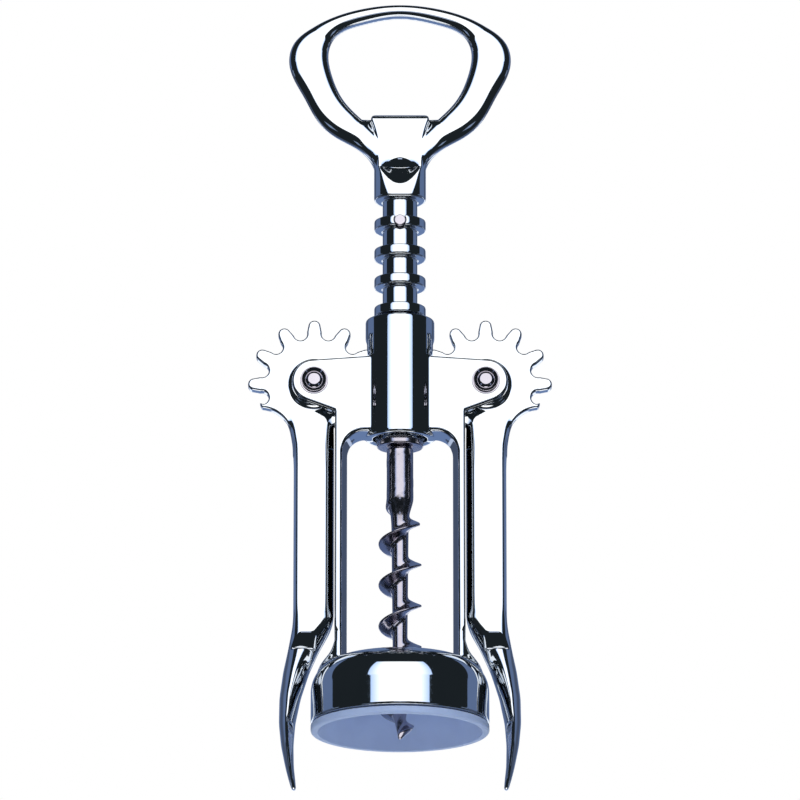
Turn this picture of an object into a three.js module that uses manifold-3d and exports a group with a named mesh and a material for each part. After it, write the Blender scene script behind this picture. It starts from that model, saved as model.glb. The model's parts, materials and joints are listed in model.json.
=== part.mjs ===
// A lever corkscrew with a bottle opener on top, in millimetres.
// +Z runs up the screw towards the handle and the front faces -Y. The origin is the centre of the
// bell's mouth.
// It is drawn at rest: levers down, screw raised. The levers' gears mesh with the rings of the rack.
import * as THREE from "three";
import { mergeVertices } from "three/addons/utils/BufferGeometryUtils.js";
import Module from "manifold-3d";

// Gap left between neighbouring pieces
const GAP = 0.3;

// Gears and rack
const PITCH_RADIUS = 13.04;
const TEETH_PER_TURN = 12;
const TOOTH_ANGLE = (2 * Math.PI) / TEETH_PER_TURN;
const RACK_PITCH = PITCH_RADIUS * TOOTH_ANGLE;
const GEAR_TIP_RADIUS = 15;
const GEAR_ROOT_RADIUS = 10.7;
const TOOTH_TIP_ROUND = 1.4;
const TOOTH_ROOT_ROUND = 1.55;
const TEETH_ABOVE = 6;
const GEAR_HALF_THICKNESS = 1.4;
const LAST_TOOTH_FLANK = 0.17;

// Lever pivots and their rivets
const PIVOT_X = 19.4;
const PIVOT_Z = 80.6;
const BOSS_RADIUS = 5.9;
const BOSS_HALF_DEPTH = 2.4;
const RIVET_RADIUS = 1.75;
const RIVET_HOLE_RADIUS = 2;
const RIVET_HEAD_RADIUS = 2.85;
const RIVET_FLANGE = 0.5;
const RIVET_RIM_WIDTH = 0.4;
const RIVET_RIM = 0.8;
const RIVET_DISH = 0.6;
const RIVET_CENTRE = 1.1;
const RIVET_HEAD = 1.5;

// The gear plate's edge where it turns into the arm, from the pivot
const ARM_OUTER = 24;
const ARM_OVERLAP_Z = -16;
const ARM_CURVE_Z = -13.6;
const ARM_CURVE_CONTROL_Z = -6.2;
const ARM_HORN = [11.9, -5.5];
const ARM_HORN_TIP = [12.3, -4.3];
const SIDE_BULGE = 0.25;
const SIDE_BULGE_DEPTH = 0.55;

// Frame casting
const CASTING_HALF_DEPTH = 4.55;
const BARREL_RADIUS = 7.8;
const BARREL_BORE = 6.15;
const BARREL_TOP = 95.7;
const BARREL_TOP_ROUND = 0.5;
const YOKE_UNDERSIDE = 67.7;
const EAR_RADIUS = 5;
const EAR_TOP_AT_BARREL = 87.2;
const EAR_LOWER_CORNER = 73.5;
const SLOT_RADIUS = 15.5;
const SLOT_HALF_WIDTH = 1.8;
const POCKET_RADIUS = 6.5;
const POCKET_HALF_WIDTH = 2.75;
const LEG_INNER = 11.9;
const LEG_DRAFT = 0.28;
const LEG_OUTER = 14.7;
const WINDOW_CORNER = 4;
const WINDOW_BOTTOM = 11;
const WINDOW_MIDDLE = 40;
const FOOT_TOP = 20.4;
const FOOT_CURVE_TOP = 16.9;
const FOOT_OUTER = 19.4;
const FOOT_LOW_CONTROL_Z = 14;
const FOOT_HIGH_CONTROL_Z = 18.9;

// Bell and its insert
const BELL_RADIUS = 20;
const BELL_RIM = 1.9;
const BELL_WALL = 1.5;
const SHOULDER_CENTRE_RADIUS = 12.5;
const SHOULDER_Z = 9;
const BELL_HOLE_RADIUS = 7;
const LIP_HEIGHT = 1.6;
const LIP_INNER_RADIUS = 18.4;
const INSERT_WALL = 1.2;
const INSERT_TAPER = 0.6;
const INSERT_THROAT_RADIUS = 6.2;

// Handle casting
const RING_RADIUS = 5.85;
const RING_ROOT_RADIUS = 3.95;
const RING_HALF_THICKNESS = 1.1;
const RING_EDGE = 0.4;
const RINGS = 8;
const RACK_BOTTOM = 67.7;
const TOP_RING_Z = PIVOT_Z + 5.5 * RACK_PITCH;
const NECK_BOTTOM = 123.9;
const NECK_TOP = 131;
const NECK_RADIUS = 5.9;
const STEM_BORE_RADIUS = 2.3;
const STEM_BORE_TOP = 121.6;
const LOOP_HALF_DEPTH = 1.95;
const LOOP_BEVEL = 0.8;
const LUG_TOP = 144.6;
const LUG_HALF_WIDTH = 7.25;
const LUG_CORNER = 0.8;
const NOTCH_X = 8.5;
const NOTCH_Z = 143.6;

// Worm, its pin and the stop washer
const STEM_RADIUS = 2;
const STEM_TOP = 121.3;
const SHANK_RADIUS = 3;
const SHANK_TOP = 65.6;
const SHANK_BOTTOM = 53;
const CORE_TOP_RADIUS = 1.95;
const CORE_TOP = 50;
const CORE_BOTTOM_RADIUS = 1.5;
const WORM_TIP = -1.3;
const WORM_RADIUS = 4.88;
const WORM_PITCH = 9.5;
const WORM_AT_PLUS_X = 0.7;
const PIN_RADIUS = 1.3;
const PIN_HALF_LENGTH = 5.6;
const WASHER_RADIUS = 5.24;
const WASHER_BOTTOM = SHANK_TOP + GAP;
const WASHER_TOP = RACK_BOTTOM - GAP;
const WASHER_CHAMFER = 0.3;
const POINT_RADIUS = 0.5;
const POINT_HEIGHT = 0.4;
const POINT_TAPER = 5;

// The worm's blade: where it starts and ends, how it grows and fades, and its section at full size
const BLADE_BOTTOM = WORM_TIP + 0.9;
const BLADE_TOP = CORE_TOP + 1.2;
const BLADE_START_SIZE = 0.35;
const BLADE_GROWTH = 4;
const BLADE_FADE = 5;
const BLADE_ROOT_RADIUS = 0.5;
const BLADE_ROOT_BELOW = 1.1;
const BLADE_ROOT_ABOVE = 1;
const BLADE_EDGE = 0.2;
const BLADE_EDGE_BELOW = 0.55;
const BLADE_EDGE_ABOVE = 0.35;

// How far a cutter or a joined part runs past the surface it meets
const OVERLAP = 1;

// How finely round shapes are divided
const BELL_SIDES = 44;
const BELL_HOLE_SIDES = 32;
const BARREL_SIDES = 36;
const SLOT_SIDES = 40;
const POCKET_SIDES = 24;
const WASHER_SIDES = 24;
const RACK_SIDES = 20;
const RAMP_SIDES = 20;
const PIN_SIDES = 16;
const BLADE_SIDES = 16;
const PLATE_CURVE_STEPS = 4;
const TOOTH_CURVE_STEPS = 3;
const FOOT_CURVE_STEPS = 6;
const CORNER_STEPS = 5;
const LINER_CORNER_STEPS = 4;
const BARREL_ROUND_STEPS = 3;
const LOOP_STEPS = 44;
const OPENING_STEPS = 32;

// Half of the loop's outer outline, from its top centre to the neck
const LOOP_OUTLINE = [
  [0, 171],
  [11.6, 169.4],
  [20.4, 165.6],
  [24.6, 161.6],
  [25.5, 157.4],
  [21.9, 148.6],
  [18.7, 142.9],
  [14.6, 139.2],
  [8.7, 135.7],
  [NECK_RADIUS, 131.8],
];

// Half of the loop's opening, from its top centre to the notch beside the cap lifter
const OPENING_OUTLINE = [
  [0, 168],
  [8.5, 166.5],
  [14.6, 163.5],
  [16.2, 159.8],
  [15.6, 154.7],
  [12.6, 148],
  [9.6, 144.6],
];

// Sections of a lever's arm and thumb pad, from the gear down to the tip.
// inner and outer are at mid-depth, faceInner and faceOuter are the edges of the front face or ridge.
const LEVER_SECTIONS = [
  { z: 73.5, inner: 15.05, faceInner: 16.1, faceOuter: 25.4, outer: 26, depth: 1.5 },
  { z: 70, inner: 15.05, faceInner: 16.4, faceOuter: 24.2, outer: 24.8, depth: 2.4 },
  { z: 66, inner: 15.05, faceInner: 16.6, faceOuter: 23.4, outer: 24.1, depth: 3.3 },
  { z: 60, inner: 15.05, faceInner: 16.7, faceOuter: 23.1, outer: 24, depth: 4.1 },
  { z: 25, inner: 15.05, faceInner: 16.8, faceOuter: 23.1, outer: 24.1, depth: 4.3 },
  { z: 22.2, inner: 16, faceInner: 17.4, faceOuter: 22.9, outer: 24.4, depth: 4.2 },
  { z: 20, inner: 17.4, faceInner: 20.6, faceOuter: 22.7, outer: 24.9, depth: 3.5 },
  { z: 16.9, inner: 19, faceInner: 22.7, faceOuter: 23.5, outer: 25.6, depth: 5 },
  { z: 12, inner: 20.9, faceInner: 23.8, faceOuter: 24.5, outer: 26.7, depth: 6.4 },
  { z: 5, inner: 22.9, faceInner: 24.9, faceOuter: 25.5, outer: 27.3, depth: 6.3 },
  { z: -2, inner: 23.8, faceInner: 25, faceOuter: 25.5, outer: 26.8, depth: 5.3 },
  { z: -8, inner: 23.7, faceInner: 24.4, faceOuter: 24.9, outer: 25.7, depth: 3.8 },
  { z: -11.5, inner: 23.3, faceInner: 23.8, faceOuter: 24.2, outer: 24.7, depth: 2.4 },
  { z: -13.2, inner: 23.3, faceInner: 23.5, faceOuter: 23.8, outer: 24, depth: 0.9 },
];

// Sections of the ramp from the round neck up to the thin cap lifter
const LIFTER_RAMP = [
  { z: 129, halfWidth: 5.85, halfDepth: 5.85 },
  { z: 132, halfWidth: 5.9, halfDepth: 5.5 },
  { z: 136, halfWidth: 6.6, halfDepth: 4.1 },
  { z: 140.5, halfWidth: LUG_HALF_WIDTH, halfDepth: 2.9 },
  { z: 144.5, halfWidth: LUG_HALF_WIDTH, halfDepth: 2.05 },
];

const wasm = await Module();
wasm.setup();

const chrome = { color: 0xdfe4ea, roughness: 0.07, metalness: 1 };
const steel = { color: 0x8f8a92, roughness: 0.28, metalness: 1 };
const frostedPlastic = { color: 0x7387af, roughness: 0.5, metalness: 0 };

// A closed three.js geometry as a manifold-3d solid
function solidOf(geometry) {
  const bare = geometry.clone();
  bare.deleteAttribute("normal");
  bare.deleteAttribute("uv");
  const merged = mergeVertices(bare, 1e-4);
  const mesh = new wasm.Mesh({
    numProp: 3,
    vertProperties: merged.attributes.position.array,
    triVerts: new Uint32Array(merged.index.array),
  });
  return new wasm.Manifold(mesh);
}

// A manifold-3d solid as a three.js geometry
function geometryOf(solid) {
  const mesh = solid.getMesh();
  const geometry = new THREE.BufferGeometry();
  geometry.setAttribute("position", new THREE.BufferAttribute(mesh.vertProperties, 3));
  geometry.setIndex(new THREE.BufferAttribute(mesh.triVerts, 1));
  geometry.computeVertexNormals();
  return geometry;
}

// One named mesh with its own material
function piece(name, solid, look) {
  const mesh = new THREE.Mesh(geometryOf(solid), new THREE.MeshStandardMaterial(look));
  mesh.name = name;
  return mesh;
}

// A profile of [radius, z] points turned round the Z axis
function turned(profile, segments) {
  const points = profile.map(([radius, z]) => new THREE.Vector2(radius, z));
  const geometry = new THREE.LatheGeometry(points, segments);
  geometry.rotateX(Math.PI / 2);
  return geometry;
}

// A round bar between two heights on the Z axis
function bar(radius, bottom, top, segments) {
  const profile = [
    [0, bottom],
    [radius, bottom],
    [radius, top],
    [0, top],
  ];
  return turned(profile, segments);
}

// A round bar along Y through a point in the XZ plane
function crossBar(radius, halfLength, x, z, segments) {
  const geometry = bar(radius, -halfLength, halfLength, segments);
  geometry.rotateX(Math.PI / 2);
  geometry.translate(x, 0, z);
  return geometry;
}

// An outline in the XZ plane made into a plate of the given half-depth along Y
function plate(shape, halfDepth, bevel = 0, curveSegments = PLATE_CURVE_STEPS) {
  const geometry = new THREE.ExtrudeGeometry(shape, {
    depth: 2 * (halfDepth - bevel),
    curveSegments,
    bevelEnabled: bevel > 0,
    bevelThickness: bevel,
    bevelSize: bevel,
    bevelOffset: -bevel,
    bevelSegments: 1,
  });
  geometry.rotateX(Math.PI / 2);
  geometry.translate(0, halfDepth - bevel, 0);
  return geometry;
}

// A closed skin over rings of points, each ring with the same number, with flat ends
function loft(rings) {
  const sides = rings[0].length;
  const positions = rings.flat().flatMap((point) => point.toArray());
  const indices = [];
  for (let ring = 0; ring < rings.length - 1; ring++) {
    for (let side = 0; side < sides; side++) {
      const here = ring * sides + side;
      const beside = ring * sides + ((side + 1) % sides);
      indices.push(here, beside, beside + sides);
      indices.push(here, beside + sides, here + sides);
    }
  }
  const last = (rings.length - 1) * sides;
  for (let side = 1; side < sides - 1; side++) {
    indices.push(0, side + 1, side);
    indices.push(last, last + side, last + side + 1);
  }
  const geometry = new THREE.BufferGeometry();
  geometry.setAttribute("position", new THREE.Float32BufferAttribute(positions, 3));
  geometry.setIndex(indices);
  return geometry;
}

// The same geometry on the other side of the YZ plane
function mirrored(geometry) {
  const copy = geometry.clone();
  copy.scale(-1, 1, 1);
  const index = copy.index.array;
  for (let corner = 0; corner < index.length; corner += 3) {
    [index[corner + 1], index[corner + 2]] = [index[corner + 2], index[corner + 1]];
  }
  return copy;
}

// Points of a circle's arc in a profile
function arcPoints(centreRadius, centreZ, radius, from, to, steps) {
  return Array.from({ length: steps + 1 }, (_, step) => {
    const angle = from + ((to - from) * step) / steps;
    return [centreRadius + radius * Math.cos(angle), centreZ + radius * Math.sin(angle)];
  });
}

// Where a line from a point outside touches the ear's round end.
// side is 1 for its top and -1 for its underside.
function earTangent(x, z, side) {
  const away = new THREE.Vector2(PIVOT_X - x, PIVOT_Z - z);
  const length = Math.sqrt(away.lengthSq() - EAR_RADIUS ** 2);
  const angle = away.angle() + side * Math.asin(EAR_RADIUS / away.length());
  return [x + length * Math.cos(angle), z + length * Math.sin(angle)];
}

// The flat part of the casting without its window: yoke, ears, legs and the feet that spread onto the bell
function castingOutline() {
  const [topX, topZ] = earTangent(BARREL_RADIUS, EAR_TOP_AT_BARREL, 1);
  const [lowX, lowZ] = earTangent(LEG_OUTER, EAR_LOWER_CORNER, -1);
  const earTop = Math.atan2(topZ - PIVOT_Z, topX - PIVOT_X);
  const earLow = Math.atan2(lowZ - PIVOT_Z, lowX - PIVOT_X);
  const half = new THREE.Path();
  half.moveTo(FOOT_OUTER, SHOULDER_Z);
  half.quadraticCurveTo(FOOT_OUTER, FOOT_LOW_CONTROL_Z, FOOT_CURVE_TOP, FOOT_CURVE_TOP);
  half.quadraticCurveTo(LEG_OUTER, FOOT_HIGH_CONTROL_Z, LEG_OUTER, FOOT_TOP);
  half.lineTo(LEG_OUTER, EAR_LOWER_CORNER);
  half.lineTo(lowX, lowZ);
  half.absarc(PIVOT_X, PIVOT_Z, EAR_RADIUS, earLow, earTop, false);
  half.lineTo(BARREL_RADIUS - OVERLAP, EAR_TOP_AT_BARREL);
  const right = half.getPoints(FOOT_CURVE_STEPS);
  const left = right.map((point) => new THREE.Vector2(-point.x, point.y)).reverse();
  return new THREE.Shape([...right, ...left]);
}

// The outline of the gap between the legs, wider towards the casting's faces
function windowRing(y) {
  const halfWidth = LEG_INNER + LEG_DRAFT * Math.abs(y);
  const corner = YOKE_UNDERSIDE - WINDOW_CORNER;
  const centreX = halfWidth - WINDOW_CORNER;
  const right = arcPoints(centreX, corner, WINDOW_CORNER, 0, Math.PI / 2, CORNER_STEPS);
  const points = [[halfWidth, WINDOW_BOTTOM], ...right];
  const left = points.map(([x, z]) => [-x, z]).reverse();
  return [...points, ...left].map(([x, z]) => new THREE.Vector3(x, y, z));
}

// The bell's outer or inner skin as a closed round solid; inset is its distance in from the outer skin
function bellBody(inset, bottom) {
  const shoulder = BELL_RADIUS - SHOULDER_CENTRE_RADIUS - inset;
  const profile = [
    [0, bottom],
    [BELL_RADIUS - inset, bottom],
    ...arcPoints(SHOULDER_CENTRE_RADIUS, SHOULDER_Z, shoulder, 0, Math.PI / 2, CORNER_STEPS),
    [0, SHOULDER_Z + shoulder],
  ];
  return solidOf(turned(profile, BELL_SIDES));
}

function barrel() {
  const round = BARREL_TOP_ROUND;
  const centre = [BARREL_RADIUS - round, BARREL_TOP - round];
  const profile = [
    [0, YOKE_UNDERSIDE],
    [BARREL_RADIUS, YOKE_UNDERSIDE],
    ...arcPoints(...centre, round, 0, Math.PI / 2, BARREL_ROUND_STEPS),
    [0, BARREL_TOP],
  ];
  return solidOf(turned(profile, BARREL_SIDES));
}

function frame() {
  const past = CASTING_HALF_DEPTH + OVERLAP;
  const window = solidOf(loft([windowRing(past), windowRing(0), windowRing(-past)]));
  let solid = solidOf(plate(castingOutline(), CASTING_HALF_DEPTH))
    .subtract(window)
    .add(bellBody(0, BELL_RIM))
    .add(barrel())
    .subtract(bellBody(BELL_WALL, 0))
    .subtract(solidOf(bar(BELL_HOLE_RADIUS, SHOULDER_Z, WINDOW_MIDDLE, BELL_HOLE_SIDES)))
    .subtract(solidOf(bar(BARREL_BORE, WINDOW_MIDDLE, BARREL_TOP + OVERLAP, BARREL_SIDES)));
  for (const x of [-PIVOT_X, PIVOT_X]) {
    solid = solid
      .subtract(solidOf(crossBar(SLOT_RADIUS, SLOT_HALF_WIDTH, x, PIVOT_Z, SLOT_SIDES)))
      .subtract(solidOf(crossBar(POCKET_RADIUS, POCKET_HALF_WIDTH, x, PIVOT_Z, POCKET_SIDES)))
      .subtract(solidOf(crossBar(RIVET_HOLE_RADIUS, past, x, PIVOT_Z, PIN_SIDES)));
  }
  return solid;
}

// The moulded liner: a flat lip under the bell's rim, a tapered inside and a throat that guides the worm
function bellInsert() {
  const shoulder = BELL_RADIUS - SHOULDER_CENTRE_RADIUS - BELL_WALL - GAP;
  const inner = shoulder - INSERT_WALL;
  const innerCentre = SHOULDER_CENTRE_RADIUS - INSERT_TAPER;
  return turned(
    [
      [LIP_INNER_RADIUS, 0],
      [BELL_RADIUS, 0],
      [BELL_RADIUS, LIP_HEIGHT],
      [BELL_RADIUS - BELL_WALL - GAP, LIP_HEIGHT],
      ...arcPoints(SHOULDER_CENTRE_RADIUS, SHOULDER_Z, shoulder, 0, Math.PI / 2, LINER_CORNER_STEPS),
      [INSERT_THROAT_RADIUS, SHOULDER_Z + shoulder],
      [INSERT_THROAT_RADIUS, SHOULDER_Z + inner],
      ...arcPoints(innerCentre, SHOULDER_Z, inner, Math.PI / 2, 0, LINER_CORNER_STEPS),
      [LIP_INNER_RADIUS, 0],
    ],
    BELL_SIDES,
  );
}

// A rivet along Y: a shank with a stepped, rounded head outside each ear
function rivet() {
  const underHead = CASTING_HALF_DEPTH + GAP;
  const head = [
    [RIVET_RADIUS, underHead],
    [RIVET_HEAD_RADIUS, underHead],
    [RIVET_HEAD_RADIUS, underHead + RIVET_FLANGE],
    [RIVET_HEAD_RADIUS - RIVET_RIM_WIDTH, underHead + RIVET_RIM],
    [RIVET_RADIUS, underHead + RIVET_DISH],
    [RIVET_RADIUS, underHead + RIVET_CENTRE],
    [0, underHead + RIVET_HEAD],
  ];
  const tail = head.map(([radius, z]) => [radius, -z]).reverse();
  const geometry = turned([...tail, ...head], PIN_SIDES);
  geometry.rotateX(Math.PI / 2);
  return geometry;
}

// A half circle whose centre is at a distance and an angle from the origin, bulging outwards or inwards
function halfCircle(shape, distance, angle, radius, inwards) {
  const x = distance * Math.cos(angle);
  const z = distance * Math.sin(angle);
  shape.absarc(x, z, radius, angle - Math.PI / 2, angle + Math.PI / 2, inwards);
}

// The gear segment in the frame of the right lever's pivot.
// Its first tooth points below the rack's side, and the rest go over the top to the outer side.
function gearOutline() {
  const shape = new THREE.Shape();
  const armOuter = ARM_OUTER - PIVOT_X;
  const armInner = LEVER_SECTIONS[0].inner - PIVOT_X;
  const tipCentre = GEAR_TIP_RADIUS - TOOTH_TIP_ROUND;
  const rootCentre = GEAR_ROOT_RADIUS + TOOTH_ROOT_ROUND;
  shape.moveTo(armInner, ARM_OVERLAP_Z);
  shape.lineTo(armOuter, ARM_OVERLAP_Z);
  shape.lineTo(armOuter, ARM_CURVE_Z);
  shape.quadraticCurveTo(armOuter, ARM_CURVE_CONTROL_Z, ...ARM_HORN);
  shape.lineTo(...ARM_HORN_TIP);
  for (let tooth = 0; tooth <= TEETH_ABOVE + 1; tooth++) {
    const valley = (tooth - 0.5) * TOOTH_ANGLE;
    halfCircle(shape, rootCentre, valley, TOOTH_ROOT_ROUND, true);
    halfCircle(shape, tipCentre, tooth * TOOTH_ANGLE, TOOTH_TIP_ROUND, false);
  }
  const lastTooth = (TEETH_ABOVE + 1) * TOOTH_ANGLE;
  const armMeets = Math.PI + Math.acos(-armInner / GEAR_ROOT_RADIUS);
  shape.absarc(0, 0, GEAR_ROOT_RADIUS, lastTooth + LAST_TOOTH_FLANK, armMeets, false);
  shape.closePath();
  return shape;
}

// One section of the arm or pad, as a ring of points round a vertical line
function leverRing({ z, inner, faceInner, faceOuter, outer, depth }) {
  const front = [
    [outer, 0],
    [outer - SIDE_BULGE * (outer - faceOuter), -SIDE_BULGE_DEPTH * depth],
    [faceOuter, -depth],
    [faceInner, -depth],
    [inner + SIDE_BULGE * (faceInner - inner), -SIDE_BULGE_DEPTH * depth],
    [inner, 0],
  ];
  const back = front.slice(1, -1).reverse();
  const ring = [...front, ...back.map(([x, y]) => [x, -y])];
  return ring.map(([x, y]) => new THREE.Vector3(x - PIVOT_X, y, z - PIVOT_Z));
}

// The right lever's solid, in the frame of its pivot
function lever() {
  const arm = loft(LEVER_SECTIONS.map(leverRing));
  return solidOf(plate(gearOutline(), GEAR_HALF_THICKNESS, 0, TOOTH_CURVE_STEPS))
    .add(solidOf(crossBar(BOSS_RADIUS, BOSS_HALF_DEPTH, 0, 0, POCKET_SIDES)))
    .add(solidOf(arm))
    .subtract(solidOf(crossBar(RIVET_HOLE_RADIUS, 2 * BOSS_HALF_DEPTH, 0, 0, PIN_SIDES)));
}

// A full outline from its right half, closed over the Z axis, by smooth curves through the points
function spannedOutline(halfPoints) {
  const half = halfPoints.map(([x, z]) => new THREE.Vector2(x, z));
  const left = halfPoints.slice(1).map(([x, z]) => new THREE.Vector2(-x, z));
  return new THREE.SplineCurve([...left.reverse(), ...half]);
}

function openingShape() {
  const shape = new THREE.Shape(spannedOutline(OPENING_OUTLINE).getPoints(OPENING_STEPS));
  shape.lineTo(NOTCH_X, NOTCH_Z);
  shape.lineTo(LUG_HALF_WIDTH, LUG_TOP - LUG_CORNER);
  shape.lineTo(LUG_HALF_WIDTH, LUG_TOP);
  shape.lineTo(-LUG_HALF_WIDTH, LUG_TOP);
  shape.lineTo(-LUG_HALF_WIDTH, LUG_TOP - LUG_CORNER);
  shape.lineTo(-NOTCH_X, NOTCH_Z);
  shape.closePath();
  return shape;
}

function lifterRamp() {
  const rings = LIFTER_RAMP.map(({ z, halfWidth, halfDepth }) =>
    Array.from({ length: RAMP_SIDES }, (_, side) => {
      const angle = (2 * Math.PI * side) / RAMP_SIDES;
      return new THREE.Vector3(halfWidth * Math.cos(angle), halfDepth * Math.sin(angle), z);
    }),
  );
  return loft(rings);
}

function rackProfile() {
  const profile = [
    [0, RACK_BOTTOM],
    [RING_ROOT_RADIUS, RACK_BOTTOM],
  ];
  for (let ring = RINGS - 1; ring >= 0; ring--) {
    const low = TOP_RING_Z - ring * RACK_PITCH - RING_HALF_THICKNESS;
    const high = low + 2 * RING_HALF_THICKNESS;
    profile.push([RING_ROOT_RADIUS, low]);
    profile.push([RING_RADIUS - RING_EDGE, low]);
    profile.push([RING_RADIUS, low + RING_EDGE]);
    profile.push([RING_RADIUS, high - RING_EDGE]);
    profile.push([RING_RADIUS - RING_EDGE, high]);
    profile.push([RING_ROOT_RADIUS, high]);
  }
  profile.push([RING_ROOT_RADIUS, NECK_BOTTOM]);
  profile.push([NECK_RADIUS - RING_EDGE, NECK_BOTTOM]);
  profile.push([NECK_RADIUS, NECK_BOTTOM + RING_EDGE]);
  profile.push([NECK_RADIUS, NECK_TOP]);
  profile.push([0, NECK_TOP]);
  return profile;
}

function openerHandle() {
  const loop = new THREE.Shape(spannedOutline(LOOP_OUTLINE).getPoints(LOOP_STEPS));
  return solidOf(plate(loop, LOOP_HALF_DEPTH, LOOP_BEVEL))
    .subtract(solidOf(plate(openingShape(), 2 * LOOP_HALF_DEPTH)))
    .add(solidOf(lifterRamp()))
    .add(solidOf(turned(rackProfile(), RACK_SIDES)))
    .subtract(solidOf(bar(STEM_BORE_RADIUS, RACK_BOTTOM - OVERLAP, STEM_BORE_TOP, RACK_SIDES)))
    .subtract(solidOf(crossBar(PIN_RADIUS + GAP, 2 * NECK_RADIUS, 0, TOP_RING_Z, PIN_SIDES)));
}

// The blade that winds round the worm's core: it grows from the point and fades out at the top
function wormBlade() {
  const height = BLADE_TOP - BLADE_BOTTOM;
  const steps = Math.round((height / WORM_PITCH) * BLADE_SIDES);
  const rings = [];
  for (let step = 0; step <= steps; step++) {
    const z = BLADE_BOTTOM + (height * step) / steps;
    const turn = (2 * Math.PI * (z - WORM_AT_PLUS_X)) / WORM_PITCH;
    const grown = BLADE_START_SIZE + (z - BLADE_BOTTOM) / BLADE_GROWTH;
    const left = BLADE_START_SIZE + (BLADE_TOP - z) / BLADE_FADE;
    const reach = THREE.MathUtils.lerp(CORE_BOTTOM_RADIUS, WORM_RADIUS, Math.min(1, grown, left));
    const section = [
      [BLADE_ROOT_RADIUS, -BLADE_ROOT_BELOW],
      [reach - BLADE_EDGE, -BLADE_EDGE_BELOW],
      [reach, 0],
      [reach - BLADE_EDGE, BLADE_EDGE_ABOVE],
      [BLADE_ROOT_RADIUS, BLADE_ROOT_ABOVE],
    ];
    const ring = section.map(([radius, rise]) => {
      return new THREE.Vector3(radius * Math.cos(turn), radius * Math.sin(turn), z + rise);
    });
    rings.push(ring.reverse());
  }
  return loft(rings);
}

function worm() {
  const profile = [
    [0, WORM_TIP],
    [POINT_RADIUS, WORM_TIP + POINT_HEIGHT],
    [CORE_BOTTOM_RADIUS, WORM_TIP + POINT_TAPER],
    [CORE_TOP_RADIUS, CORE_TOP],
    [SHANK_RADIUS, SHANK_BOTTOM],
    [SHANK_RADIUS, SHANK_TOP],
    [STEM_RADIUS, SHANK_TOP],
    [STEM_RADIUS, STEM_TOP],
    [0, STEM_TOP],
  ];
  return solidOf(turned(profile, PIN_SIDES))
    .add(solidOf(wormBlade()))
    .subtract(solidOf(crossBar(PIN_RADIUS + GAP, 2 * STEM_RADIUS, 0, TOP_RING_Z, PIN_SIDES)));
}

function stopWasher() {
  const hole = STEM_RADIUS + GAP;
  return turned(
    [
      [hole, WASHER_BOTTOM],
      [WASHER_RADIUS - WASHER_CHAMFER, WASHER_BOTTOM],
      [WASHER_RADIUS, WASHER_BOTTOM + WASHER_CHAMFER],
      [WASHER_RADIUS, WASHER_TOP - WASHER_CHAMFER],
      [WASHER_RADIUS - WASHER_CHAMFER, WASHER_TOP],
      [hole, WASHER_TOP],
      [hole, WASHER_BOTTOM],
    ],
    WASHER_SIDES,
  );
}

const frameGroup = new THREE.Group();
frameGroup.add(piece("frame", frame(), chrome));
frameGroup.add(piece("bell_insert", solidOf(bellInsert()), frostedPlastic));

const rightLever = lever();
const leftLever = solidOf(mirrored(geometryOf(rightLever)));
const sides = [
  { name: "left", x: -PIVOT_X, solid: leftLever },
  { name: "right", x: PIVOT_X, solid: rightLever },
];
for (const { name, x, solid } of sides) {
  const pivot = new THREE.Group();
  pivot.position.set(x, 0, PIVOT_Z);
  pivot.add(piece("pivot_rivet_" + name, solidOf(rivet()), steel));
  pivot.add(piece("lever_" + name, solid, chrome));
  frameGroup.add(pivot);
}

const slideGroup = new THREE.Group();
slideGroup.add(piece("stop_washer", solidOf(stopWasher()), steel));
slideGroup.add(piece("opener_handle", openerHandle(), chrome));
slideGroup.add(piece("worm", worm(), steel));
const pin = crossBar(PIN_RADIUS, PIN_HALF_LENGTH, 0, TOP_RING_Z, PIN_SIDES);
slideGroup.add(piece("worm_pin", solidOf(pin), steel));

const corkscrew = new THREE.Group();
corkscrew.add(frameGroup, slideGroup);

export default corkscrew;
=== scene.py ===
"""A lever corkscrew in chrome, built round its CAD frame.

The castings and the worm are signed-distance fields: each function below gives the distance, in
millimetres, from its shape at points x, y, z, negative inside. solid_mesh() puts a smooth quad
mesh on a field's surface. The turned parts are profiles spun round an axis.
"""

import json
import math

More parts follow.
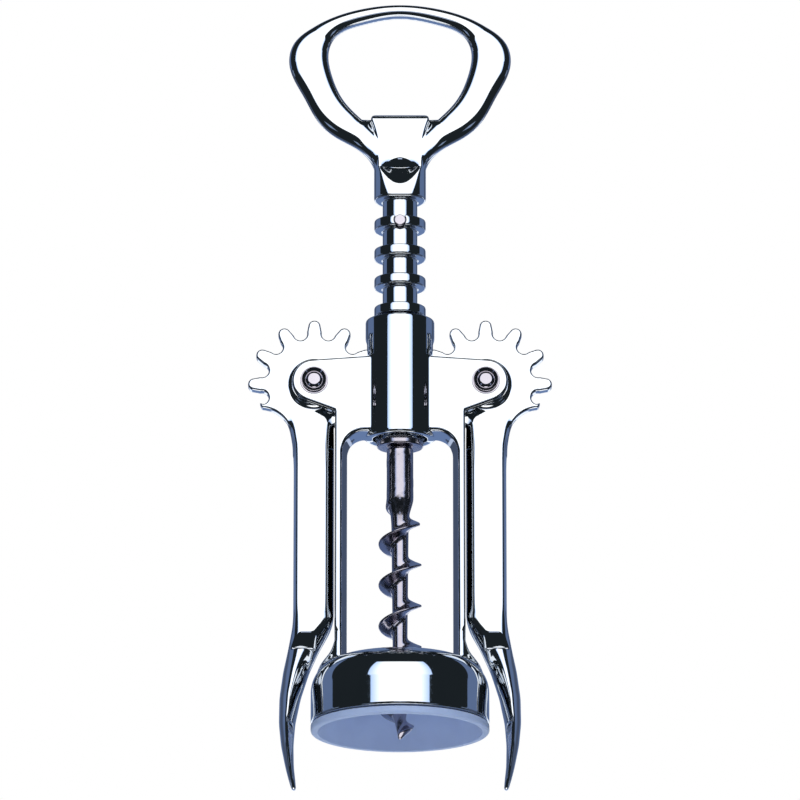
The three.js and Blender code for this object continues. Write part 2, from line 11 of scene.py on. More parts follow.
import bmesh
import bpy
import numpy as np
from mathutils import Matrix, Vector


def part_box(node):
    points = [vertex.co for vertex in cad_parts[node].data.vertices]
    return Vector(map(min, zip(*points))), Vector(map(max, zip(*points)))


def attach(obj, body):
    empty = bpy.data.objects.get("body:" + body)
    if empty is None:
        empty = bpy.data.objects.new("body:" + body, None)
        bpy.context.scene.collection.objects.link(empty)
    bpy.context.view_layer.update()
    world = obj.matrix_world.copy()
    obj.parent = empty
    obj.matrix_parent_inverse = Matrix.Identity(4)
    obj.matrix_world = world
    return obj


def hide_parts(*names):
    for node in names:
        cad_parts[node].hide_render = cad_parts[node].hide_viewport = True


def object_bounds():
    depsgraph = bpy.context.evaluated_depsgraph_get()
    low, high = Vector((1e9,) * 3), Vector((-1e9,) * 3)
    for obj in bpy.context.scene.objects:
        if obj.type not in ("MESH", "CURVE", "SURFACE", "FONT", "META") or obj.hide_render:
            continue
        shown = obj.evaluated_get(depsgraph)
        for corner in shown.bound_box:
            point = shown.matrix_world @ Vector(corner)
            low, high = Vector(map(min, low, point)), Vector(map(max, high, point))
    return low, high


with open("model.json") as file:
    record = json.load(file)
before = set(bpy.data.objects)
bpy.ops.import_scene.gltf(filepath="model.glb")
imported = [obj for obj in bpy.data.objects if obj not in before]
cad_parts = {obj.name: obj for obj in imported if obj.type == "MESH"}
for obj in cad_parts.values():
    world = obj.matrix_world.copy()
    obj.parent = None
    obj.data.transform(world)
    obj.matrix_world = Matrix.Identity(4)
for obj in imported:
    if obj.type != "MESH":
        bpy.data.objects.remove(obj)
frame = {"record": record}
cad_box = [list(corner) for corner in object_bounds()]

MM = 0.001


def box_mm(node):
    """Lowest and highest corner of a CAD node, in millimetres."""
    return [np.array(corner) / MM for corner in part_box(node)]


# ---- Driving dimensions, from the frame ----

PIVOT_X, _, PIVOT_Z = sum(box_mm("pivot_rivet_right")) / 2
TOP_RING_Z = (sum(box_mm("worm_pin")) / 2)[2]
PIN_END = box_mm("worm_pin")[1][1]
BELL_RADIUS = box_mm("bell_insert")[1][1]
BELL_RIM, BARREL_TOP = box_mm("frame")[0][2], box_mm("frame")[1][2]
RACK_BOTTOM, LOOP_TOP = box_mm("opener_handle")[0][2], box_mm("opener_handle")[1][2]
LEVER_TIP = box_mm("lever_right")[0][2]
WASHER_BOTTOM, WASHER_TOP = box_mm("stop_washer")[0][2], box_mm("stop_washer")[1][2]
WASHER_RADIUS = box_mm("stop_washer")[1][0]
WORM_TIP, STEM_TOP = box_mm("worm")[0][2], box_mm("worm")[1][2]

# ---- Dimensions of the castings and turned parts ----

GAP = 0.3
YOKE_UNDERSIDE = RACK_BOTTOM
CASTING_HALF_DEPTH = 4.55
CAST_EDGE = 0.55
SMALL_EDGE = 0.3

BARREL_RADIUS = 7.8
BARREL_BORE = 6.15
BARREL_TOP_ROUND = 0.5
EAR_RADIUS = 5
EAR_TOP_AT_BARREL = 87.2
EAR_LOWER_CORNER = 73.5
LEG_INNER = 11.9
LEG_OUTER = 14.7
LEG_DRAFT = 0.28
WINDOW_CORNER = 4
WINDOW_BOTTOM = 11
FOOT_TOP = 20.4
FOOT_SLOPE_INSET = 0.4
FOOT_EDGE = 0.6
BARREL_FILLET = 0.5
BELL_FILLET = 0.7

BELL_WALL = 1.5
SHOULDER_CENTRE_RADIUS = 12.5
SHOULDER_Z = 9
SHOULDER_ROUND = BELL_RADIUS - SHOULDER_CENTRE_RADIUS
BELL_HOLE_RADIUS = 7
BELL_HOLE_Z = 25
BELL_HOLE_HALF_LENGTH = 20
BORE_BOTTOM = 60
CUT_EDGE = 0.35
LIP_HEIGHT = 1.6
LIP_INNER_RADIUS = 18.4
LINER_WALL = 1.2
LINER_TAPER = 0.6
LINER_THROAT = 6.2

TOOTH_ANGLE = math.radians(30)
RACK_PITCH = 13.04 * TOOTH_ANGLE
GEAR_TIP_RADIUS = 15
GEAR_ROOT_RADIUS = 10.7
TOOTH_TIP_ROUND = 1.4
TOOTH_ROOT_ROUND = 1.55
TEETH = 8
GEAR_EDGE = 0.4
GEAR_FOOT = 64
ARM_TOP = 76
ARM_OUTER = 24
LAST_ROOT_TURN = 0.17
GEAR_HALF_THICKNESS = 1.4
BOSS_RADIUS = 5.2
BOSS_HALF_DEPTH = 2.05
BOSS_FILLET = 1
RIVET_RADIUS = 1.75
RIVET_HOLE = 2
RIVET_HEAD_RADIUS = 2.85
RIVET_FOOT = 0.35
RIVET_RIM = 1.15
RIVET_STUD = 1.2
SLOT_RADIUS = 15.5
SLOT_HALF_WIDTH = 1.8
POCKET_RADIUS = 6.5
POCKET_HALF_WIDTH = 2.75

RING_RADIUS = 5.85
RING_ROOT_RADIUS = 3.95
RING_HALF_THICKNESS = 1.2
RINGS = 8
RACK_TOP = 126
LOOP_EDGE_REACH = 2.7
LOOP_EDGE_STEEPNESS = 0.92
NECK_RADIUS = 5.9
NECK_BOTTOM = 123.9
NECK_TOP = 135
NECK_EDGE = 0.8
LOOP_BOTTOM = 130
LOOP_RIM_EDGE = 0.4
STEM_BORE = 2.3
LUG_TOP = 144.6
LUG_SIDE_EDGE = 0.6
LUG_TOP_EDGE = 1.8
PIN_GAP = 0.1

STEM_RADIUS = 2
SHANK_RADIUS = 3
SHANK_TOP = WASHER_BOTTOM - GAP
WORM_RADIUS = 4.88
WORM_PITCH = 9.5
WORM_AT_PLUS_X = 0.7
BLADE_EDGE = 0.2
BLADE_TAPER = 0.26
BLADE_FILLET = 0.7
STEM_MIDDLE = 93
PIN_RADIUS = 1.3

# How far the worm's blade and core reach from its axis, at each height
BLADE_REACH = [
    (-1.3, 0.4),
    (0.5, 2.6),
    (4, WORM_RADIUS),
    (46, WORM_RADIUS),
    (49.5, 4.3),
    (52.5, 3.2),
    (54, 2.6),
]
CORE_PROFILE = [
    (WORM_TIP, 0.1),
    (-0.9, 0.5),
    (4, 1.5),
    (48, 1.95),
    (50.5, 2.15),
    (53.5, 3.03),
    (55, 3.05),
    (57, SHANK_RADIUS),
    (66, SHANK_RADIUS),
]

# Half of the loop's outer outline, from its top centre down to the neck
LOOP_OUTLINE = [
    (0, LOOP_TOP),
    (11.6, 169.4),
    (20.4, 165.6),
    (24.6, 161.6),
    (25.5, 157.4),
    (21.9, 148.6),
    (18.7, 142.9),
    (14.6, 139.2),
    (8.7, 135.7),
    (NECK_RADIUS, 131.8),
]

# Half of the loop's opening, from its top centre down to the notch beside the cap lifter
OPENING_OUTLINE = [
    (0, 168),
    (8.5, 166.5),
    (14.6, 163.5),
    (16.2, 159.8),
    (15.6, 154.7),
    (12.6, 148),
    (8.6, 143.7),
]

# Half of the cap lifter, from the neck up past the loop's opening
LUG_OUTLINE = [
    (0, 128),
    (4.2, 129),
    (4.9, 133),
    (5.2, 137.5),
    (6.1, 141.5),
    (7.1, 144.6),
    (7.6, 147),
]

# The front of the neck, cap lifter and loop: half the thickness at each height
HANDLE_FACE = [(123, 5.72), (124, 5.47), (129.7, 4.04), (138, 1.95), (146, 1.95)]

# The scoop below the cap lifter: half the thickness left at its middle, at each height
SCOOP_FACE = [
    (124, 7.09),
    (131.6, 1.77),
    (144, 5.09),
]
SCOOP_HOLLOW = 0.085
DENT_X = 8.3
DENT_Z = 141.2
DENT_TOP = 143.8
DENT_SLOPE = 0.6

# A lever's arm and thumb pad at each height: the x of its sides at mid-depth (inner, outer) and at
# its face or ridge (face_inner, face_outer), its half-depth, and how square its sides are
LEVER_SECTIONS = [
    # z, inner, face_inner, face_outer, outer, half-depth, squareness
    (ARM_TOP, 15.05, 15.7, 25, 26, 0.9, 1.3),
    (73.5, 15.05, 15.9, 25, 26, 1.4, 1.3),
    (70, 14.9, 16.2, 24.1, 24.9, 2.3, 1.2),
    (66, 14.85, 16.4, 23.5, 24.2, 3.2, 1.1),
    (61, 14.85, 16.3, 23.4, ARM_OUTER, 4.3, 1),
    (28, 14.85, 16.3, 23.4, ARM_OUTER, 4.3, 1),
    (25.7, 14.95, 17, 23.1, 24, 4.3, 4.5),
    (23.5, 15.6, 18, 23, 24.2, 4.3, 4),
    (22, 16.3, 19.1, 23, 24.5, 4.3, 3.2),
    (20.5, 17.1, 20.1, 23, 24.8, 4.3, 2.6),
    (18.4, 18.2, 21.5, 23.1, 25.2, 4.6, 2.2),
    (13.7, 20.3, 23, 24.1, 26.2, 5.9, 2),
    (7.8, 22.2, 24.4, 25.1, 27, 6.4, 2),
    (2, 23.4, 25, 25.5, 27.1, 6.1, 2),
    (-3, 23.8, 25, 25.4, 26.6, 5.2, 2),
    (-8, 23.7, 24.4, 24.8, 25.6, 3.8, 2),
    (-11.5, 23.3, 23.8, 24.2, 24.7, 2.4, 2),
    (LEVER_TIP, 23.2, 23.4, 23.9, 24.1, 0.9, 2),
]
NOTCH_BOTTOM = 18.5
NOTCH_TOP = 21.9
NOTCH_HALF_DEPTH = 2.8
NOTCH_SLOPE = 0.45
NOTCH_EDGE = 0.25
LEVER_EDGE = 0.6
LEVER_FILLET = 0.5
GEAR_ARM_INNER = 16.2


# ---- Curves ----


def arc(centre, radius, start, end, steps):
    """Points of a circle's arc in the XZ plane, from one angle in radians to another."""
    angles = np.linspace(start, end, steps + 1)
    return [
        (centre[0] + radius * math.cos(a), centre[1] + radius * math.sin(a)) for a in angles
    ]


def smooth_curve(points, spacing=0.3):
    """An evenly bending curve (a natural cubic spline) through given points."""
    points = np.array(points, float)
    knots = np.r_[0, np.cumsum(np.linalg.norm(np.diff(points, axis=0), axis=1))]
    gap = np.diff(knots)
    slope = np.diff(points, axis=0) / gap[:, None]
    system = np.eye(len(knots))
    change = np.zeros_like(points)
    for i in range(1, len(knots) - 1):
        system[i, i - 1 : i + 2] = gap[i - 1], 2 * (gap[i - 1] + gap[i]), gap[i]
        change[i] = 6 * (slope[i] - slope[i - 1])
    bend = np.linalg.solve(system, change)
    at = np.linspace(0, knots[-1], round(knots[-1] / spacing) + 1)
    i = np.clip(np.searchsorted(knots, at, side="right") - 1, 0, len(gap) - 1)
    b = ((at - knots[i]) / gap[i])[:, None]
    a = 1 - b
    bending = (a**3 - a) * bend[i] + (b**3 - b) * bend[i + 1]
    return a * points[i] + b * points[i + 1] + bending * gap[i][:, None] ** 2 / 6


def whole_outline(half):
    """A full outline from its right half, as a smooth curve over the Z axis."""
    left = [(-x, z) for x, z in half[:0:-1]]
    return smooth_curve(left + list(half))


def softened(stations, values, blur):
    """A function that runs through the values at the stations with its corners blurred."""
    order = np.argsort(stations)
    low, high = min(stations), max(stations)
    step = 0.05
    fine = np.arange(low - 4 * blur, high + 4 * blur, step)
    straight = np.interp(fine, np.array(stations)[order], np.array(values, float)[order])
    reach = np.arange(-3 * blur, 3 * blur + step, step)
    weight = np.exp(-((reach / blur) ** 2) / 2)
    padded = np.pad(straight, len(reach) // 2, mode="edge")
    smooth = np.convolve(padded, weight / weight.sum(), mode="same")
    smooth = smooth[len(reach) // 2 : len(reach) // 2 + len(fine)]
    return lambda at: np.interp(at, fine, smooth).astype(np.float32)


# ---- Distance fields ----


def both(a, b, edge=0.0):
    """What two fields share, with an edge of that radius between them."""
    u, v = np.maximum(a + edge, 0), np.maximum(b + edge, 0)
    return np.minimum(np.maximum(a, b), -edge) + np.hypot(u, v)


def either(a, b, fillet=0.0):
    """Two fields joined, with a fillet of that radius between them."""
    if not fillet:
        return np.minimum(a, b)
    u, v = np.maximum(fillet - a, 0), np.maximum(fillet - b, 0)
    return np.maximum(np.minimum(a, b), fillet) - np.hypot(u, v)


def without(a, b, edge=0.0):
    """The first field with the second cut out of it."""
    return both(a, -b, edge)


def outline_distance(x, z, outline):
    """Distance from a closed outline in the XZ plane."""
    nearest = np.full(np.broadcast(x, z).shape, 1e9, np.float32)
    inside = np.zeros(nearest.shape, bool)
    for (ax, az), (bx, bz) in zip(outline, np.roll(outline, -1, axis=0)):
        edge_x, edge_z = bx - ax, bz - az
        from_x, from_z = x - ax, z - az
        squared = max(edge_x**2 + edge_z**2, 1e-12)
        along = np.clip((from_x * edge_x + from_z * edge_z) / squared, 0, 1)
        gap = (from_x - along * edge_x) ** 2 + (from_z - along * edge_z) ** 2
        nearest = np.minimum(nearest, gap)
        if edge_z:
            inside ^= ((az <= z) != (bz <= z)) & (from_x < from_z * edge_x / edge_z)
    return np.where(inside, -1, 1) * np.sqrt(nearest)


def rolled_face(y, half_depth, edges):
    """Distance from the face of a flat bar that rolls away along an ellipse to both its edges.
    edges holds the distances from the two edges, negative inside."""
    depths = [np.maximum(-edge, 0) for edge in edges]
    reach = np.minimum(LOOP_EDGE_REACH, 0.45 * sum(depths) + 0.1)
    drop, slope = 0, 0
    for depth in depths:
        share = 0.97 * np.clip(1 - depth / reach, 0, 1)
        root = np.sqrt(1 - share**2)
        drop = drop + LOOP_EDGE_STEEPNESS * reach * (1 - root)
        slope = slope + LOOP_EDGE_STEEPNESS * share / root
    return (y - half_depth + drop) / np.hypot(1, slope)


# ---- Mesh on a field ----


def stations(*spans):
    """Grid lines from (start, end, step) spans that follow one another."""
    lines = [
        np.linspace(start, end, max(1, round((end - start) / step)) + 1)[:-1]
        for start, end, step in spans
    ]
    return np.concatenate(lines + [[spans[-1][1]]])


def sampled(grid, place):
    """Values between grid points, by straight-line interpolation along the three axes."""
    low = np.clip(np.floor(place).astype(int), 0, np.array(grid.shape) - 2)
    part = place - low
    total = 0
    for corner in np.ndindex(2, 2, 2):
        weight = np.prod(np.where(corner, part, 1 - part), axis=1)
        total = total + weight * grid[tuple((low + corner).T)]
    return total


def surface_net(field):
    """Quads where the field changes sign, with one vertex in each grid cell they cross."""
    inside = field < 0
    cells = tuple(n - 1 for n in field.shape)
    filled = np.zeros(cells, np.uint8)
    for corner in np.ndindex(2, 2, 2):
        filled += inside[tuple(slice(c, c + n) for c, n in zip(corner, cells))]
    crossed = (filled > 0) & (filled < 8)
    number = np.full(cells, -1, np.int32)
    number[crossed] = np.arange(crossed.sum())
    cell = np.argwhere(crossed)
    total, count = np.zeros(cell.shape), np.zeros(len(cell))
    for axis in range(3):
        step = np.eye(3, dtype=int)[axis]
        for corner in np.ndindex(2, 2, 2):
            if corner[axis]:
                continue
            start = cell + corner
            a, b = field[tuple(start.T)], field[tuple((start + step).T)]
            crosses = (a < 0) != (b < 0)
            share = a[crosses] / (a[crosses] - b[crosses])
            total[crosses] += start[crosses] + share[:, None] * step
            count[crosses] += 1
    quads = []
    for axis in range(3):
        step, side, up = (np.eye(3, dtype=int)[(axis + k) % 3] for k in range(3))
        a = inside[tuple(slice(1 - s, n - 1) for s, n in zip(step, field.shape))]
        b = inside[tuple(slice(1, n - 1 + s) for s, n in zip(step, field.shape))]
        edge = np.argwhere(a != b) + 1 - step
        leaves = inside[tuple(edge.T)]
        ring = [edge, edge - side, edge - side - up, edge - up]
        quad = np.stack([number[tuple(c.T)] for c in ring], axis=1)
        quad[~leaves] = quad[~leaves, ::-1]
        quads.append(quad)
    return total / count[:, None], np.concatenate(quads)


def solid_mesh(field, lines):
    """Vertices, quads and vertex normals of a field's surface, found on a grid of lines."""
    x, y, z = (np.asarray(axis, np.float32) for axis in lines)
    values = field(x[:, None, None], y[None, :, None], z[None, None, :]).astype(np.float32)
    place, quads = surface_net(values)
    slopes = np.gradient(values, x, y, z)
    points = np.zeros_like(place)
    for _ in range(3):
        for axis, line in enumerate((x, y, z)):
            points[:, axis] = np.interp(place[:, axis], np.arange(len(line)), line)
        slope = np.stack([sampled(s, place) for s in slopes], axis=1)
        squared = (slope**2).sum(axis=1) + 1e-9
        move = slope * (sampled(values, place) / squared)[:, None]
        points -= np.clip(move, -0.1, 0.1)
        for axis, line in enumerate((x, y, z)):
            place[:, axis] = np.interp(points[:, axis], line, np.arange(len(line)))
    return points, quads, slope / np.sqrt(squared)[:, None]


def new_object(name, points, faces, normals=None):
    """A smooth mesh object from points in millimetres."""
    mesh = bpy.data.meshes.new(name)
    mesh.from_pydata((np.asarray(points) * MM).tolist(), [], np.asarray(faces).tolist())
    mesh.validate()
    mesh.shade_smooth()
    if normals is not None:
        mesh.normals_split_custom_set_from_vertices(np.asarray(normals).tolist())
    piece = bpy.data.objects.new(name, mesh)
    bpy.context.scene.collection.objects.link(piece)
    return piece


def installed(piece, node, material):
    """Puts a piece in place of its CAD node, on the node's body."""
    piece.data.materials.append(material)
    bodies = frame["record"]["behaviour"]["bodies"]
    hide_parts(node)
    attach(piece, next(body for body, nodes in bodies.items() if node in nodes))
    return piece


# ---- Turned parts ----


def rounded_profile(corners, steps=5):
    """A profile of (radius, z, rounding) corners as points, with each corner rounded by an arc."""
    points = []
    flat = [np.array(corner[:2], float) for corner in corners]
    for i, (_, _, rounding) in enumerate(corners):
        if not rounding or i in (0, len(corners) - 1):
            points.append(tuple(flat[i]))
            continue
        before, after = flat[i - 1] - flat[i], flat[i + 1] - flat[i]
        before, after = before / np.linalg.norm(before), after / np.linalg.norm(after)
        half = math.acos(np.clip(before @ after, -1, 1)) / 2
        middle = (before + after) / np.linalg.norm(before + after)
        centre = flat[i] + middle * rounding / math.sin(half)
        first = flat[i] + before * rounding / math.tan(half) - centre
        last = flat[i] + after * rounding / math.tan(half) - centre
        for share in np.linspace(0, 1, steps + 1):
            turned = (1 - share) * first + share * last
            points.append(tuple(centre + turned * rounding / np.linalg.norm(turned)))
    return points


def turned_piece(name, profile, sides=96, closed=False):
    """A profile of (radius, z) points spun round the Z axis, from the bottom up or all round."""
    bm = bmesh.new()
    turns = [2 * math.pi * side / sides for side in range(sides)]
    rings = []
    for radius, z in profile:
        if radius < 1e-6:
            rings.append([bm.verts.new((0, 0, z * MM))])
            continue
        rings.append(
            [
                bm.verts.new((radius * math.cos(a) * MM, radius * math.sin(a) * MM, z * MM))
                for a in turns
            ]
        )
    pairs = list(zip(rings, rings[1:] + rings[:1])) if closed else list(zip(rings, rings[1:]))
    for low, high in pairs:
        for side in range(sides):
            beside = (side + 1) % sides
            corners = [low[side % len(low)], low[beside % len(low)]]
            corners += [high[beside % len(high)], high[side % len(high)]]
            bm.faces.new(list(dict.fromkeys(corners)))
    bmesh.ops.recalc_face_normals(bm, faces=bm.faces)
    mesh = bpy.data.meshes.new(name)
    bm.to_mesh(mesh)
    bm.free()
    mesh.shade_smooth()
    mesh.set_sharp_from_angle(angle=math.radians(35))
    piece = bpy.data.objects.new(name, mesh)
    bpy.context.scene.collection.objects.link(piece)
    shading = piece.modifiers.new("even_shading", "WEIGHTED_NORMAL")
    shading.keep_sharp = True
    return piece


def laid_along_y(piece, x, z):
    """Turns a piece's Z axis towards the back and moves it to x and z."""
    data = piece.data
    for vertex in data.vertices:
        along_x, along_y, up = vertex.co
        vertex.co = Vector((along_x + x * MM, up, -along_y + z * MM))
    return piece


# ---- Frame casting ----


def ear_tangent(x, z, side):
    """Where a line from a point touches the ear's round end, above (1) or below (-1)."""
    away_x, away_z = PIVOT_X - x, PIVOT_Z - z
    distance = math.hypot(away_x, away_z)
    length = math.sqrt(distance**2 - EAR_RADIUS**2)
    angle = math.atan2(away_z, away_x) + side * math.asin(EAR_RADIUS / distance)
    return x + length * math.cos(angle), z + length * math.sin(angle)


def casting_outline():
    """The right half of the flat casting: foot, leg, ear and yoke, without the window."""
    top = ear_tangent(BARREL_RADIUS, EAR_TOP_AT_BARREL, 1)
    low = ear_tangent(LEG_OUTER, EAR_LOWER_CORNER, -1)
    start = math.atan2(low[1] - PIVOT_Z, low[0] - PIVOT_X)
    end = math.atan2(top[1] - PIVOT_Z, top[0] - PIVOT_X)
    foot = [(19.4, 9), (19.1, 12), (17.6, 15.9), (15.7, 18), (LEG_OUTER, FOOT_TOP)]
    points = [(-WINDOW_CORNER, SHOULDER_Z)]
    points += [tuple(point) for point in smooth_curve(foot)]
    points += [(LEG_OUTER, EAR_LOWER_CORNER)]
    points += arc((PIVOT_X, PIVOT_Z), EAR_RADIUS, start, end, 30)
    points += [(-WINDOW_CORNER, EAR_TOP_AT_BARREL)]
    return points


def window_outline():
    """The right half of the gap between the legs."""
    corner = (LEG_INNER - WINDOW_CORNER, YOKE_UNDERSIDE - WINDOW_CORNER)
    points = [(-WINDOW_CORNER, WINDOW_BOTTOM), (LEG_INNER, WINDOW_BOTTOM)]
    points += arc(corner, WINDOW_CORNER, 0, math.pi / 2, 16)
    return points + [(-WINDOW_CORNER, YOKE_UNDERSIDE)]


def bell_distance(radius, z, inset):
    """Distance from the bell's skin, or from a skin inset inside it."""
    out, up = radius - SHOULDER_CENTRE_RADIUS, z - SHOULDER_Z
    corner = np.hypot(np.maximum(out, 0), np.maximum(up, 0)) + np.minimum(np.maximum(out, up), 0)
    return corner - (SHOULDER_ROUND - inset)


def frame_field(x, y, z):
    """The bell, legs, yoke, ears and barrel, with their window, bores, slots and pockets."""
    x, y = np.abs(x), np.abs(y)
    radius = np.hypot(x, y)
    from_pivot = np.hypot(x - PIVOT_X, z - PIVOT_Z)

    window = outline_distance(x, z, window_outline()) - LEG_DRAFT * y
    plate = without(outline_distance(x, z, casting_outline()), window)
    plate = both(plate, y - CASTING_HALF_DEPTH, CAST_EDGE)
    foot_slope = (y - CASTING_HALF_DEPTH + x - LEG_OUTER + FOOT_SLOPE_INSET) / math.sqrt(2)
    plate = both(plate, foot_slope - np.maximum(z - FOOT_TOP - 2, 0), FOOT_EDGE)

    barrel = both(radius - BARREL_RADIUS, z - BARREL_TOP, BARREL_TOP_ROUND)
    barrel = both(barrel, YOKE_UNDERSIDE - z, CAST_EDGE)
    bell = both(bell_distance(radius, z, 0), BELL_RIM - z, CAST_EDGE)
    solid = either(either(plate, barrel, BARREL_FILLET), bell, BELL_FILLET)

    inside_bell = np.maximum(bell_distance(radius, z, BELL_WALL), -z)
    bell_hole = np.maximum(radius - BELL_HOLE_RADIUS, np.abs(z - BELL_HOLE_Z) - BELL_HOLE_HALF_LENGTH)
    bore = np.maximum(radius - BARREL_BORE, BORE_BOTTOM - z)
    gear_slot = np.maximum(from_pivot - SLOT_RADIUS, y - SLOT_HALF_WIDTH)
    pocket = np.maximum(from_pivot - POCKET_RADIUS, y - POCKET_HALF_WIDTH)
    for cut in (inside_bell, bell_hole, bore, gear_slot, pocket, from_pivot - RIVET_HOLE):
        solid = without(solid, cut, CUT_EDGE)
    return np.maximum(solid, z - BARREL_TOP)


def make_frame():
    fine, middle, coarse = 0.3, 0.9, 1.4
    across = stations((-25.5, 25.5, fine))
    deep = stations((-20.9, 20.9, fine))
    bell_rim, bell_side, shoulder = (1.3, 3, fine), (3, 8.4, middle), (8.4, 23, fine)
    legs, head = (23, 61.5, coarse), (61.5, 96.5, fine)
    up = stations(bell_rim, bell_side, shoulder, legs, head)
    points, quads, normals = solid_mesh(frame_field, (across, deep, up))
    piece = new_object("frame_casting", points, quads, normals)
    return installed(piece, "frame", chrome)


# ---- Levers ----


def gear_outline():
    """The gear segment and the top of the arm, counter-clockwise from the arm's foot."""
    points = [(GEAR_ARM_INNER, GEAR_FOOT), (ARM_OUTER, GEAR_FOOT)]
    spur = [(ARM_OUTER, 66), (24.6, 69.9), (26.6, 73), (29.1, 74.6), (31.3, 75.1)]
    points += [tuple(point) for point in smooth_curve(spur)]
    points += [(31.7, 76.3)]
    pivot = np.array((PIVOT_X, PIVOT_Z))
    for tooth in range(TEETH):
        valley, angle = (tooth - 0.5) * TOOTH_ANGLE, tooth * TOOTH_ANGLE
        root_radius = GEAR_ROOT_RADIUS + TOOTH_ROOT_ROUND
        tip_radius = GEAR_TIP_RADIUS - TOOTH_TIP_ROUND
        root = pivot + root_radius * np.array((math.cos(valley), math.sin(valley)))
        tip = pivot + tip_radius * np.array((math.cos(angle), math.sin(angle)))
        quarter = math.pi / 2
        points += arc(root, TOOTH_ROOT_ROUND, valley - quarter, valley - 3 * quarter, 10)
        points += arc(tip, TOOTH_TIP_ROUND, angle - quarter, angle + quarter, 10)
    last = (TEETH - 1) * TOOTH_ANGLE + LAST_ROOT_TURN
    meets = math.pi + math.acos((PIVOT_X - GEAR_ARM_INNER) / GEAR_ROOT_RADIUS)
    return points + arc(pivot, GEAR_ROOT_RADIUS, last, meets, 8)


def lever_field():
    """The right lever: its sections blended into arm and pad, the notch, gear, boss and hole."""
    heights = [row[0] for row in LEVER_SECTIONS]
    blur = 0.7
    columns = [softened(heights, column, blur) for column in zip(*LEVER_SECTIONS)][1:]
    outline = gear_outline()

    def field(x, y, z):
        y = np.abs(y)
        inner, face_inner, face_outer, outer, half_depth, squareness = (c(z) for c in columns)
        share = np.clip(y / half_depth, 1e-3, 1.1)
        lean = share**squareness
        rate = squareness * share ** (squareness - 1) / half_depth
        inner_run, outer_run = face_inner - inner, outer - face_outer
        inner_side = (inner + inner_run * lean - x) / np.hypot(1, rate * inner_run)
        outer_side = (x - outer + outer_run * lean) / np.hypot(1, rate * outer_run)
        inner_edge = np.interp(z, (20, 27), (0.5, 0.7))
        arm = both(outer_side, y - half_depth, LEVER_EDGE)
        arm = both(arm, inner_side, inner_edge)
        arm = both(arm, np.maximum(LEVER_TIP - z, z - ARM_TOP), 0.4)
        notch_floor = NOTCH_HALF_DEPTH + NOTCH_SLOPE * (z - NOTCH_BOTTOM) - y
        notch = np.maximum(notch_floor / math.hypot(1, NOTCH_SLOPE), NOTCH_BOTTOM - z)
        arm = without(arm, np.maximum(notch, z - NOTCH_TOP), NOTCH_EDGE)

        from_pivot = np.hypot(x - PIVOT_X, z - PIVOT_Z)
        gear = both(outline_distance(x, z, outline), y - GEAR_HALF_THICKNESS, GEAR_EDGE)
        boss = both(from_pivot - BOSS_RADIUS, y - BOSS_HALF_DEPTH, SMALL_EDGE)
        solid = either(either(gear, boss, BOSS_FILLET), arm, LEVER_FILLET)
        return without(solid, from_pivot - RIVET_HOLE, 0.2)

    return field


def make_levers():
    fine = 0.26
    across = stations((3.9, 35, fine))
    deep = stations((-6.9, 6.9, fine))
    up = stations((LEVER_TIP - 0.6, 27, 0.3), (27, 60, 1.2), (60, 96.2, fine))
    points, quads, normals = solid_mesh(lever_field(), (across, deep, up))
    right = new_object("lever_right_casting", points, quads, normals)
    installed(right, "lever_right", chrome)
    mirror = np.array((-1, 1, 1))
    left = new_object("lever_left_casting", points * mirror, quads[:, ::-1], normals * mirror)
    installed(left, "lever_left", chrome)


# ---- Handle casting ----


def handle_field():
    """The loop, neck and cap lifter, with the scoop and dents, on the ringed rack and its bores."""
    loop_outline = whole_outline(LOOP_OUTLINE + [(NECK_RADIUS, 127)])
    opening = whole_outline(OPENING_OUTLINE)
    lug_outline = whole_outline(LUG_OUTLINE)
    face = softened(*zip(*HANDLE_FACE), 0.8)
    scoop_face = softened(*zip(*SCOOP_FACE), 0.05)

    def field(x, y, z):
        x, y = np.abs(x), np.abs(y)
        radius = np.hypot(x, y)
        half_depth = face(z)

        to_outer = outline_distance(x, z, loop_outline)
        to_opening = -outline_distance(x, z, opening)
        rolled = rolled_face(y, half_depth, (to_outer, to_opening))
        loop = both(both(to_outer, rolled, LOOP_RIM_EDGE), LOOP_BOTTOM - z, 0.5)
        loop = both(loop, to_opening, LOOP_RIM_EDGE)
        neck = both(radius - NECK_RADIUS, y - half_depth, 0.25)
        neck = both(neck, np.maximum(NECK_BOTTOM - z, z - NECK_TOP), NECK_EDGE)
        lug = both(outline_distance(x, z, lug_outline), y - half_depth, LUG_SIDE_EDGE)
        lug = both(lug, z - LUG_TOP, LUG_TOP_EDGE)
        from_dent = (z - DENT_Z - x + DENT_X) / math.sqrt(2)
        dent = (half_depth - DENT_SLOPE * from_dent - y) / math.hypot(1, DENT_SLOPE)
        loop = without(loop, np.maximum(dent, z - DENT_TOP), SMALL_EDGE)
        solid = np.minimum(np.minimum(loop, neck), lug)
        scoop_edge = np.interp(z, (130, 134), (0.4, 0.9))
        solid = without(solid, scoop_face(z) + SCOOP_HOLLOW * x**2 - y, scoop_edge)

        ring = np.clip(np.round((TOP_RING_Z - z) / RACK_PITCH), 0, RINGS - 1)
        from_ring = np.abs(z - TOP_RING_Z + ring * RACK_PITCH)
        rings = both(radius - RING_RADIUS, from_ring - RING_HALF_THICKNESS, SMALL_EDGE)
        core = np.maximum(radius - RING_ROOT_RADIUS, np.maximum(RACK_BOTTOM - z, z - RACK_TOP))
        solid = either(solid, either(rings, core, SMALL_EDGE), SMALL_EDGE)

        stem_bore = np.maximum(radius - STEM_BORE, z - STEM_TOP - GAP)
        pin_hole = np.hypot(x, z - TOP_RING_Z) - PIN_RADIUS - PIN_GAP
        return without(np.maximum(solid, -stem_bore), pin_hole, 0.08)

    return field


